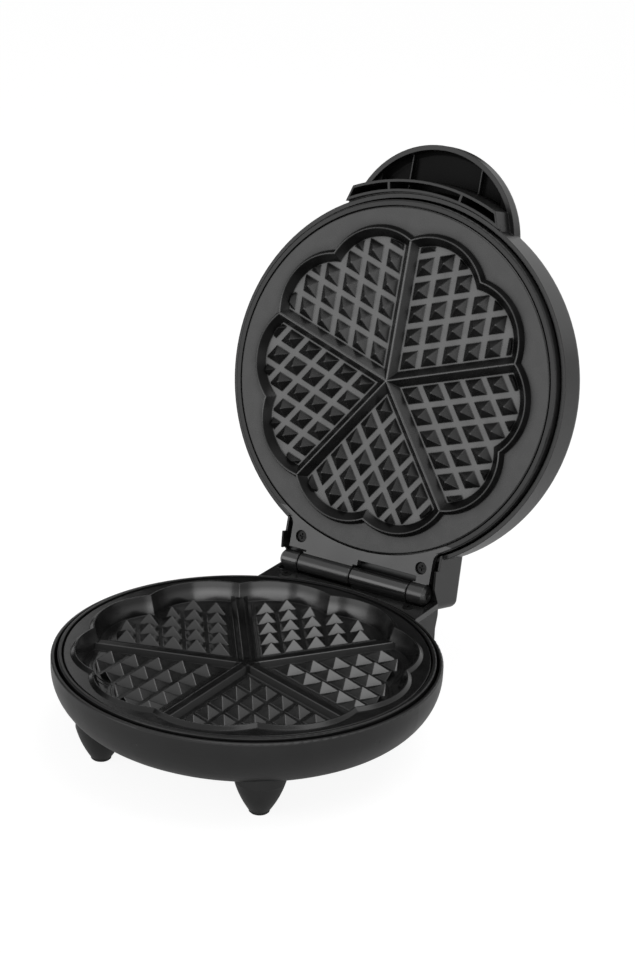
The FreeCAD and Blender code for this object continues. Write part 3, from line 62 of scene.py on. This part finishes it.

# Upper baking plate: heights of its flats from the hinge axis, and the share of gloss on each face, which paints
# highlights on its flats and shade on its land, fences and facets
MOULDS_RADIUS = 0.079
MOULDS_MARGIN = 0.006
UPPER_LAND = -0.0011
UPPER_CREST = -0.0053
SLOPE_START = 0.0004
SLOPE_END = 0.0001
LAND_SHARE = 0.56
FENCE_SHARE = 0.1
FACET_SHARE = 0.5

# Lower baking plate: the gloss grows from its land, level with the rim, down into the moulds; the land and the
# ridges' faces take painted shade, the ridges' edges stay glossy as painted highlight lines
LOWER_LAND_SHARE = 0.48
MOULD_DEPTH = 0.003
RIDGES = 5
FIRST_RIDGE_ANGLE = -90
RIDGE_TOP = 0.0455
RIDGE_HALF_WIDTH = 0.0047
RIDGE_EDGE = 0.0021
RIDGE_EDGE_WIDTH = 0.0008
RIDGE_SHARE = 0.3

# Painted shade in the crevices of both plates: how far the crevices reach, and how much gloss it takes from them
CREVICE_REACH = 0.006
CREVICE_SHARE = 0.15
CREVICE_SHUT = 0.45
CREVICE_OPEN = 0.9

# Detail that all finishes share: the used middle of a noise, its octaves and the rays for soft edges
NOISE_LOW = 0.35
NOISE_HIGH = 0.65
CLOUD_DETAIL = 4.0
GRAIN_DETAIL = 3.0
EDGE_SAMPLES = 6

# Nodes that don't take the finish of their slot in the record
OWN_FINISH = {
    "lower_baking_plate": "lower_plate",
    "upper_baking_plate": "upper_plate",
    "upper_ring": "upper_ring",
    "hinge_bracket": "bracket",
}

# Studio floor and room; their glow makes open floor white to the camera and leaves it its shadows
FLOOR_SIZE = 12.0
FLOOR_WHITE = 0.86
FLOOR_ROUGHNESS = 0.9
FLOOR_GLOW = 0.7
FLOOR_GLOW_STRENGTH = 1.28
FLOOR_MIRRORED_GLOW = 0.12
ROOM_GREY = 0.32
ROOM_GLOW = 1.0
ROOM_MIRRORED_GLOW = 0.7

# Softboxes, which all point at the middle of the part
LIGHT_TARGET = Vector((0, 0, 0.12))
LIGHTS = {
    "key": {"place": Vector((-0.95, -1.75, 0.45)), "width": 1.4, "height": 1.4, "power": 10.0},
    "fill": {"place": Vector((1.05, -1.5, 0.45)), "width": 2.2, "height": 0.7, "power": 10.0},
    "top": {"place": Vector((0.36, 0.15, 1.3)), "width": 1.0, "height": 1.0, "power": 5.6},
}

# Dark upright cards, each given by its lower and upper corner
CARD_GREY = 0.01
CARD_ROUGHNESS = 1.0
CARDS = {
    "card_left": (Vector((-1.6, -0.5, 0.25)), Vector((-1.6, 1.3, 1.6))),
    "card_back": (Vector((-1.15, 1.4, 0.2)), Vector((-0.3, 1.4, 1.6))),
}


# Shader nodes
def new_material(name):
    material = bpy.data.materials.new(name)
    material.use_nodes = True
    return material, material.node_tree, material.node_tree.nodes["Principled BSDF"]


def object_place(tree):
    """Object coordinates, which are those of the frame at rest and move with their body."""
    return tree.nodes.new("ShaderNodeTexCoord").outputs["Object"]


def noise(tree, scale, detail):
    """Noise over the object's own coordinates; scale is in waves per metre."""
    texture = tree.nodes.new("ShaderNodeTexNoise")
    texture.inputs["Scale"].default_value = scale
    texture.inputs["Detail"].default_value = detail
    tree.links.new(object_place(tree), texture.inputs["Vector"])
    return texture.outputs["Fac"]


def spread(tree, value, low, high, start=NOISE_LOW, end=NOISE_HIGH):
    """Maps start to low and end to high, and holds both beyond."""
    ramp = tree.nodes.new("ShaderNodeMapRange")
    ramp.inputs["From Min"].default_value = start
    ramp.inputs["From Max"].default_value = end
    ramp.inputs["To Min"].default_value = low
    ramp.inputs["To Max"].default_value = high
    tree.links.new(value, ramp.inputs["Value"])
    return ramp.outputs["Result"]


def colours(tree, value, dark, light):
    """Maps the middle of a noise to the colours from dark to light."""
    ramp = tree.nodes.new("ShaderNodeValToRGB")
    ramp.color_ramp.elements[0].position = NOISE_LOW
    ramp.color_ramp.elements[0].color = (*dark, 1)
    ramp.color_ramp.elements[1].position = NOISE_HIGH
    ramp.color_ramp.elements[1].color = (*light, 1)
    tree.links.new(value, ramp.inputs["Fac"])
    return ramp.outputs["Color"]


def bump(tree, height, depth, edge_radius):
    """Normal from a height that is depth metres deep, over edges that are rounded by edge_radius."""
    relief = tree.nodes.new("ShaderNodeBump")
    relief.inputs["Strength"].default_value = 1.0
    relief.inputs["Distance"].default_value = depth
    tree.links.new(height, relief.inputs["Height"])
    if edge_radius:
        rounding = tree.nodes.new("ShaderNodeBevel")
        rounding.samples = EDGE_SAMPLES
        rounding.inputs["Radius"].default_value = edge_radius
        tree.links.new(rounding.outputs["Normal"], relief.inputs["Normal"])
    return relief.outputs["Normal"]


def math_node(tree, operation, first, second=0.0):
    """Result of an operation on two values, each a number or another node's output."""
    node = tree.nodes.new("ShaderNodeMath")
    node.operation = operation
    for socket, value in zip(node.inputs, (first, second)):
        if isinstance(value, (int, float)):
            socket.default_value = value
        else:
            tree.links.new(value, socket)
    return node.outputs["Value"]


# Places on the part
def lid_place(tree):
    """Object coordinates with the lid closed, measured from the hinge axis."""
    turned = tree.nodes.new("ShaderNodeMapping")
    turned.vector_type = "TEXTURE"
    turned.inputs["Location"].default_value = HINGE
    turned.inputs["Rotation"].default_value = (LID_TURN, 0, 0)
    tree.links.new(object_place(tree), turned.inputs["Vector"])
    return turned.outputs["Vector"]


def parts_of(tree, place):
    split = tree.nodes.new("ShaderNodeSeparateXYZ")
    tree.links.new(place, split.inputs["Vector"])
    return split.outputs["X"], split.outputs["Y"], split.outputs["Z"]


def axis_distance(tree, place, back):
    """Distance from an upright axis through x = 0, y = back."""
    flat = tree.nodes.new("ShaderNodeVectorMath")
    flat.operation = "MULTIPLY"
    flat.inputs[1].default_value = (1, 1, 0)
    tree.links.new(place, flat.inputs[0])
    away = tree.nodes.new("ShaderNodeVectorMath")
    away.operation = "DISTANCE"
    away.inputs[1].default_value = (0, back, 0)
    tree.links.new(flat.outputs["Vector"], away.inputs[0])
    return away.outputs["Value"]


def along(tree, place, direction):
    """Distance from the base's axis along a level direction."""
    dot = tree.nodes.new("ShaderNodeVectorMath")
    dot.operation = "DOT_PRODUCT"
    dot.inputs[1].default_value = (*direction, 0)
    tree.links.new(place, dot.inputs[0])
    return math_node(tree, "SUBTRACT", dot.outputs["Value"], BASE_BACK * direction[1])


# Masks of gloss, which paint light and shade onto the lid and the plates
def handle_hollow_shade(tree):
    """One inside the hollow of the handle, nought on the edges of its ribs and elsewhere on the lid: the gloss
    taken down there is painted shade, partly also a matte inside.
    """
    place = lid_place(tree)
    side, _, height = parts_of(tree, place)
    away = axis_distance(tree, place, HANDLE_BACK)
    within = math_node(tree, "LESS_THAN", away, HANDLE_HOLLOW_RADIUS)
    above = math_node(tree, "GREATER_THAN", height, HANDLE_HOLLOW_LOW)
    below = math_node(tree, "LESS_THAN", height, HANDLE_HOLLOW_HIGH)
    hollow = math_node(tree, "MULTIPLY", within, math_node(tree, "MULTIPLY", above, below))
    from_rib = math_node(tree, "SUBTRACT", math_node(tree, "ABSOLUTE", side), HANDLE_RIB_X)
    from_rib = math_node(tree, "ABSOLUTE", from_rib)
    on_rib = math_node(tree, "LESS_THAN", from_rib, HANDLE_RIB_WIDTH / 2)
    at_edge = math_node(tree, "LESS_THAN", height, HANDLE_RIB_EDGE)
    rib_edge = math_node(tree, "MULTIPLY", on_rib, at_edge)
    return math_node(tree, "MULTIPLY", hollow, math_node(tree, "SUBTRACT", 1, rib_edge))


def hinge_sheen(tree):
    """One on the lid's land and knuckles next to the hinge axis, nought elsewhere: there the ring is made
    glossier, a painted sheen.
    """
    ahead = parts_of(tree, lid_place(tree))[1]
    return math_node(tree, "GREATER_THAN", ahead, LAND_FRONT)


def upper_plate_light_and_shade(tree):
    """One on the flats among the upper plate's moulds, less on its land and least on slopes: painted highlights on
    the flats, painted shade on the land and the slopes.
    """
    place = lid_place(tree)
    away = axis_distance(tree, place, LID_BACK)
    flat = spread(tree, away, LAND_SHARE, 1, MOULDS_RADIUS + MOULDS_MARGIN, MOULDS_RADIUS)
    slope = spread(tree, away, FENCE_SHARE, FACET_SHARE, MOULDS_RADIUS, MOULDS_RADIUS - MOULDS_MARGIN)
    height = parts_of(tree, place)[2]
    level = spread(tree, height, 0, 1, UPPER_LAND - SLOPE_START, UPPER_LAND - SLOPE_END)
    crest = spread(tree, height, 0, 1, UPPER_CREST + SLOPE_START, UPPER_CREST + SLOPE_END)
    on_flat = math_node(tree, "MAXIMUM", level, crest)
    off_flat = math_node(tree, "SUBTRACT", 1, on_flat)
    return math_node(tree, "ADD", math_node(tree, "MULTIPLY", on_flat, flat),
                     math_node(tree, "MULTIPLY", off_flat, slope))


def ridge_shade(tree, place, angle):
    """One on the sides and the middle of the ridge that runs out at angle, nought on its edges: painted shade on
    its faces, which leaves the edges as painted highlight lines.
    """
    out = along(tree, place, (math.cos(angle), math.sin(angle)))
    off = math_node(tree, "ABSOLUTE", along(tree, place, (-math.sin(angle), math.cos(angle))))
    outwards = math_node(tree, "GREATER_THAN", out, 0)
    near = math_node(tree, "LESS_THAN", off, RIDGE_HALF_WIDTH)
    on_ridge = math_node(tree, "MULTIPLY", outwards, near)
    from_edge = math_node(tree, "ABSOLUTE", math_node(tree, "SUBTRACT", off, RIDGE_EDGE))
    off_edge = math_node(tree, "GREATER_THAN", from_edge, RIDGE_EDGE_WIDTH / 2)
    return math_node(tree, "MULTIPLY", on_ridge, off_edge)


def lower_plate_light_and_shade(tree):
    """One deep in the lower plate's moulds, less on its land and on the faces of its ridges: painted shade on the
    land and the ridges' faces.
    """
    place = object_place(tree)
    height = parts_of(tree, place)[2]
    share = spread(tree, height, LOWER_LAND_SHARE, 1, RIM_HEIGHT, RIM_HEIGHT - MOULD_DEPTH)
    low = math_node(tree, "LESS_THAN", height, RIDGE_TOP)
    for number in range(RIDGES):
        angle = math.radians(FIRST_RIDGE_ANGLE + 360 * number / RIDGES)
        face = math_node(tree, "MULTIPLY", ridge_shade(tree, place, angle), low)
        share = math_node(tree, "MULTIPLY", share, spread(tree, face, 1, RIDGE_SHARE, 0, 1))
    return share


def crevice_shade_share(tree):
    """One on open faces, less in narrow crevices: painted shade, the gloss taken down where ambient occlusion
    finds a crevice.
    """
    openness = tree.nodes.new("ShaderNodeAmbientOcclusion")
    openness.samples = EDGE_SAMPLES
    openness.only_local = True
    openness.inputs["Distance"].default_value = CREVICE_REACH
    return spread(tree, openness.outputs["AO"], CREVICE_SHARE, 1, CREVICE_SHUT, CREVICE_OPEN)


# Finishes
def grey(value):
    return (value, value, value)


def surface(name, dark, light, rough, cloud, grain, depth, edge, metallic=0.0, specular=0.5):
    """Finish with slow clouds in colour and roughness, a fine grain in height, and rounded edges.

    cloud and grain are in waves per metre, depth is the grain's height and edge the rounding, in metres.
    """
    material, tree, shader = new_material(name)
    clouds = noise(tree, cloud, CLOUD_DETAIL)
    grains = noise(tree, grain, GRAIN_DETAIL)
    tree.links.new(colours(tree, clouds, dark, light), shader.inputs["Base Color"])
    tree.links.new(spread(tree, clouds, rough[0], rough[1]), shader.inputs["Roughness"])
    tree.links.new(bump(tree, grains, depth, edge), shader.inputs["Normal"])
    shader.inputs["Metallic"].default_value = metallic
    shader.inputs["Specular IOR Level"].default_value = specular
    return material


def set_gloss(material, mask, masked, paint_crevice_shade=False):
    """Takes the gloss of a finish to masked where the mask is one, and paints shade into crevices if asked."""
    tree = material.node_tree
    level = tree.nodes["Principled BSDF"].inputs["Specular IOR Level"]
    gloss = spread(tree, mask(tree), level.default_value, masked, 0, 1)
    if paint_crevice_shade:
        gloss = math_node(tree, "MULTIPLY", gloss, crevice_shade_share(tree))
    tree.links.new(gloss, level)
    return material


def satin(name, dark, light, rough, depth, specular, cloud=60, edge=4e-4):
    """Moulded black plastic."""
    return surface(name, grey(dark), grey(light), rough, cloud, grain=2600, depth=depth, edge=edge,
                   specular=specular)


def coating(name, rough, depth, edge, mask, masked):
    """Black non-stick coating, glossy where the mask is one, with painted shade in its crevices."""
    material = surface(name, grey(0.006), grey(0.009), rough, cloud=120, grain=1800,
                       depth=depth, edge=edge, specular=0.0)
    return set_gloss(material, mask, masked, paint_crevice_shade=True)


def metal(name, dark, light, rough, cloud, grain, depth=5e-6, edge=1e-4):
    """Bare metal."""
    return surface(name, dark, light, rough, cloud, grain, depth, edge, metallic=1.0)


def clear(name, dark, light, rough=(0.08, 0.12), edge=2e-4):
    """Smooth glossy plastic or glass of a lamp."""
    return surface(name, dark, light, rough, cloud=150, grain=900, depth=2e-6, edge=edge)


def moulding_finishes():
    shell = satin("satin_shell", dark=0.006, light=0.008, rough=(0.28, 0.3), depth=8e-6, specular=0.36,
                  cloud=40, edge=5e-4)
    land = satin("satin_land", dark=0.012, light=0.016, rough=(0.28, 0.34), depth=1.2e-5, specular=0.3)
    return {
        "casing": satin("satin_casing", dark=0.006, light=0.008, rough=(0.36, 0.42), depth=2e-5,
                        specular=0.42),
        # Painted shade in the handle's hollow, whose gloss is taken down; partly it stands for a matte inside
        "shell": set_gloss(shell, handle_hollow_shade, masked=0.04),
        "ring": satin("satin_ring", dark=0.006, light=0.008, rough=(0.3, 0.36), depth=1.2e-5,
                      specular=0.3),
        # Painted sheen: the land and knuckles by the hinge are glossier than the rest of the ring
        "upper_ring": set_gloss(land, hinge_sheen, masked=0.75),
        # Painted sheen: the bracket's knuckles are glossier than the casing
        "bracket": satin("satin_knuckle", dark=0.01, light=0.014, rough=(0.2, 0.25), depth=1.2e-5,
                         specular=0.85),
    }


def plate_finishes():
    return {
        "lower_plate": coating("lower_coating", rough=(0.17, 0.22), depth=8e-6, edge=7e-4,
                               mask=lower_plate_light_and_shade, masked=0.8),
        "upper_plate": coating("upper_coating", rough=(0.24, 0.3), depth=1e-5, edge=8e-4,
                               mask=upper_plate_light_and_shade, masked=0.86),
    }


def metal_finishes():
    return {
        "heater": metal("heater_tube", grey(0.3), grey(0.36), rough=(0.4, 0.5), cloud=200, grain=1500,
                        depth=1e-5, edge=0.0),
        "shield": metal("bright_sheet", grey(0.55), grey(0.62), rough=(0.28, 0.36), cloud=90, grain=1500,
                        depth=1e-5, edge=0.0),
        "steel_screw": metal("zinc_screw", grey(0.5), grey(0.58), rough=(0.3, 0.4), cloud=300, grain=3000,
                             depth=1e-5),
        "terminal_screw": metal("brass_screw", (0.7, 0.5, 0.22), (0.78, 0.58, 0.28), rough=(0.25, 0.35),
                                cloud=300, grain=2000),
        "pin": metal("drawn_pin", grey(0.5), grey(0.56), rough=(0.25, 0.32), cloud=300, grain=2000),
        "fuse": metal("fuse_can", grey(0.6), grey(0.68), rough=(0.25, 0.3), cloud=200, grain=2000),
    }


def small_finishes():
    return {
        "rubber_pad": surface("rubber", grey(0.003), grey(0.005), rough=(0.7, 0.8), cloud=200, grain=2400,
                              depth=3e-5, edge=3e-4),
        "gland": surface("gland_rubber", grey(0.012), grey(0.018), rough=(0.6, 0.7), cloud=150, grain=2000,
                         depth=2e-5, edge=3e-4),
        "black_screw": surface("black_screw", grey(0.003), grey(0.005), rough=(0.3, 0.38), cloud=300,
                               grain=3000, depth=1e-5, edge=1e-4, specular=0.2),
        "thermostat": surface("phenolic", (0.1, 0.05, 0.03), (0.13, 0.07, 0.04), rough=(0.45, 0.55),
                              cloud=200, grain=2000, depth=1e-5, edge=2e-4),
        "terminal": surface("terminal_block", (0.78, 0.76, 0.7), (0.85, 0.83, 0.78), rough=(0.5, 0.6),
                            cloud=150, grain=1500, depth=1e-5, edge=2e-4),
        "red_lens": clear("red_lens", (0.4, 0.012, 0.008), (0.5, 0.02, 0.012)),
        "green_lens": clear("green_lens", (0.015, 0.28, 0.05), (0.02, 0.36, 0.07)),
        "lamp": clear("lamp_glass", (0.7, 0.62, 0.52), (0.8, 0.72, 0.62), rough=(0.05, 0.1), edge=1e-4),
    }


def dress_nodes():
    """Every CAD node takes its own finish, or else the finish of its slot in the record."""
    finishes = {**moulding_finishes(), **plate_finishes(), **metal_finishes(), **small_finishes()}
    for part in frame["record"]["subparts"]:
        materials = frame["nodes"][part["node"]].data.materials
        materials.clear()
        materials.append(finishes[OWN_FINISH.get(part["node"], part["material_slot"])])


# Studio
def background_rays(tree, direct, mirrored):
    """Share of background white for rays that meet it directly, and mirrored or through glass."""
    path = tree.nodes.new("ShaderNodeLightPath")
    shares = {"Is Camera Ray": direct, "Is Glossy Ray": mirrored, "Is Transmission Ray": mirrored}
    total = 0.0
    for name, share in shares.items():
        total = math_node(tree, "MAXIMUM", total, math_node(tree, "MULTIPLY", path.outputs[name], share))
    return total


def mix_shaders(tree, share, first, second, end):
    """Sends first and, by its share, second to the input called Surface of the node end."""
    mix = tree.nodes.new("ShaderNodeMixShader")
    tree.links.new(share, mix.inputs["Fac"])
    tree.links.new(first, mix.inputs[1])
    tree.links.new(second, mix.inputs[2])
    tree.links.new(mix.outputs["Shader"], end.inputs["Surface"])


def make_plane(name, corners, material):
    mesh = bpy.data.meshes.new(name)
    mesh.from_pydata(corners, [], [(0, 1, 2, 3)])
    mesh.materials.append(material)
    plane = bpy.data.objects.new(name, mesh)
    bpy.context.scene.collection.objects.link(plane)
    return plane


def make_floor():
    half = FLOOR_SIZE / 2
    material, tree, shader = new_material("floor_white")
    shader.inputs["Base Color"].default_value = (*grey(FLOOR_WHITE), 1)
    shader.inputs["Roughness"].default_value = FLOOR_ROUGHNESS
    glow = tree.nodes.new("ShaderNodeEmission")
    glow.inputs["Strength"].default_value = FLOOR_GLOW_STRENGTH
    share = background_rays(tree, FLOOR_GLOW, FLOOR_MIRRORED_GLOW)
    mix_shaders(tree, share, shader.outputs["BSDF"], glow.outputs["Emission"],
                tree.nodes["Material Output"])
    corners = [(-half, -half, 0), (half, -half, 0), (half, half, 0), (-half, half, 0)]
    make_plane("floor", corners, material)


def make_cards():
    """Dark studio cards that only mirroring surfaces see: to the left and behind."""
    material, _, shader = new_material("card_black")
    shader.inputs["Base Color"].default_value = (*grey(CARD_GREY), 1)
    shader.inputs["Roughness"].default_value = CARD_ROUGHNESS
    for name, (low, high) in CARDS.items():
        corners = [low, (high.x, high.y, low.z), high, (low.x, low.y, high.z)]
        card = make_plane(name, corners, material)
        card.visible_camera = False
        card.visible_diffuse = False
        card.visible_shadow = False
        card.visible_transmission = False


def make_world():
    world = bpy.data.worlds.new("studio")
    bpy.context.scene.world = world
    world.use_nodes = True
    tree = world.node_tree
    room = tree.nodes["Background"]
    room.inputs["Color"].default_value = (*grey(ROOM_GREY), 1)
    white = tree.nodes.new("ShaderNodeBackground")
    white.inputs["Color"].default_value = (*grey(1), 1)
    share = background_rays(tree, ROOM_GLOW, ROOM_MIRRORED_GLOW)
    mix_shaders(tree, share, room.outputs["Background"], white.outputs["Background"],
                tree.nodes["World Output"])


def make_lights():
    for name, softbox in LIGHTS.items():
        lamp = bpy.data.lights.new(name, "AREA")
        lamp.shape = "RECTANGLE"
        lamp.size = softbox["width"]
        lamp.size_y = softbox["height"]
        lamp.energy = softbox["power"]
        light = bpy.data.objects.new(name, lamp)
        light.location = softbox["place"]
        light.rotation_euler = (LIGHT_TARGET - softbox["place"]).to_track_quat("-Z", "Y").to_euler()
        bpy.context.scene.collection.objects.link(light)


def make_camera():
    rim_middle = Vector((0, BASE_BACK, RIM_HEIGHT))
    ahead = Vector((-math.sin(CAMERA_AZIMUTH) * math.cos(CAMERA_ELEVATION),
                    math.cos(CAMERA_AZIMUTH) * math.cos(CAMERA_ELEVATION),
                    -math.sin(CAMERA_ELEVATION)))
    level = Vector((math.cos(CAMERA_AZIMUTH), math.sin(CAMERA_AZIMUTH), 0))
    above = level.cross(ahead)
    right = level * math.cos(CAMERA_ROLL) + above * math.sin(CAMERA_ROLL)
    up = above * math.cos(CAMERA_ROLL) - level * math.sin(CAMERA_ROLL)
    turn = Matrix((right, up, -ahead)).transposed()
    optics = bpy.data.cameras.new("camera")
    optics.sensor_fit = "VERTICAL"
    optics.sensor_height = SENSOR_HEIGHT
    optics.lens = FOCAL_PIXELS * SENSOR_HEIGHT / IMAGE_HEIGHT
    camera = bpy.data.objects.new("camera", optics)
    camera.matrix_world = Matrix.Translation(rim_middle + CAMERA_FROM_RIM) @ turn.to_4x4()
    bpy.context.scene.collection.objects.link(camera)
    bpy.context.scene.camera = camera


dress_nodes()
make_floor()
make_cards()
make_world()
make_lights()
make_camera()
bpy.context.scene.view_settings.view_transform = "Standard"
